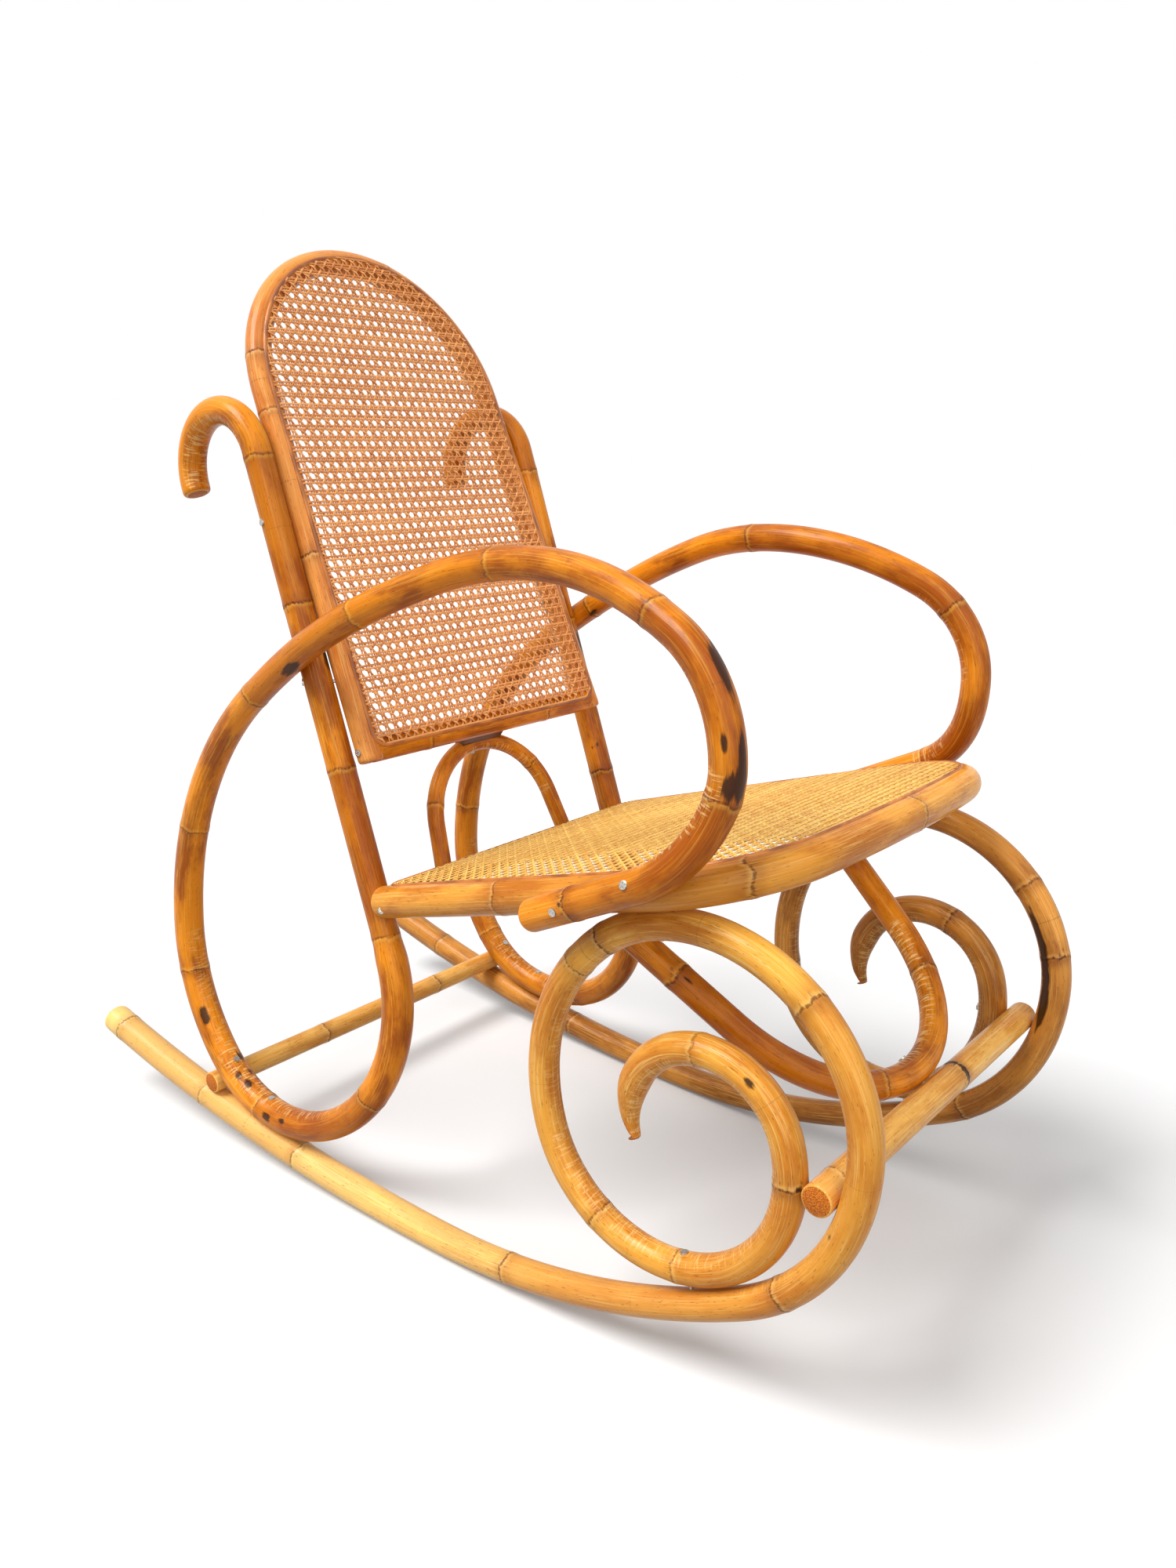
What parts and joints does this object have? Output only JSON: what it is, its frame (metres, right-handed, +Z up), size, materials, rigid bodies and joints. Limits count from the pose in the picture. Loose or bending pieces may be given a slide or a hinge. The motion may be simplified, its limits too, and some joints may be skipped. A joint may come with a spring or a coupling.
{
  "type": "rocking chair",
  "caption": "Rocking chair of bent bamboo poles with looped arms, coiled front rings on curved runners, and a woven cane seat and back.",
  "frame": {"origin": "middle of the floor under the chair: halfway between its sides and halfway between its front and rear ends", "axes": "+Z up, -Y the way the sitter faces, +X to the sitter's left"},
  "size_m": [0.5778, 1.1411, 1.0978],
  "materials": {
    "pale_pole": "glossy lacquer over golden bamboo",
    "honey_pole": "glossy lacquer over orange-brown bamboo",
    "brown_pole": "glossy lacquer over brown bamboo",
    "dark_block": "stained wood block",
    "seat_webbing": "six-way woven cane, yellow",
    "back_webbing": "six-way woven cane, orange-tan",
    "spline": "round reed spline",
    "steel": "cross-slotted screw heads"
  },
  "bodies": {
    "root": {"right_runner": "pale_pole", "left_runner": "brown_pole", "right_arm_pole": "honey_pole", "left_arm_pole": "honey_pole", "seat_frame": "pale_pole", "seat_rear_rail": "brown_pole", "seat_cane": "seat_webbing", "seat_spline": "spline", "back_hoop": "honey_pole", "back_bottom_rail": "honey_pole", "back_cane": "back_webbing", "back_spline": "spline", "front_stretcher": "pale_pole", "rear_stretcher": "brown_pole", "brace_hoop": "honey_pole", "rear_arch": "honey_pole", "arch_spacer": "dark_block", "arm_screws": "steel", "seat_screws": "steel", "back_screws": "steel", "runner_screws": "steel", "ring_screws": "steel", "stretcher_screws": "steel", "arch_screws": "steel"}
  },
  "joints": []
}
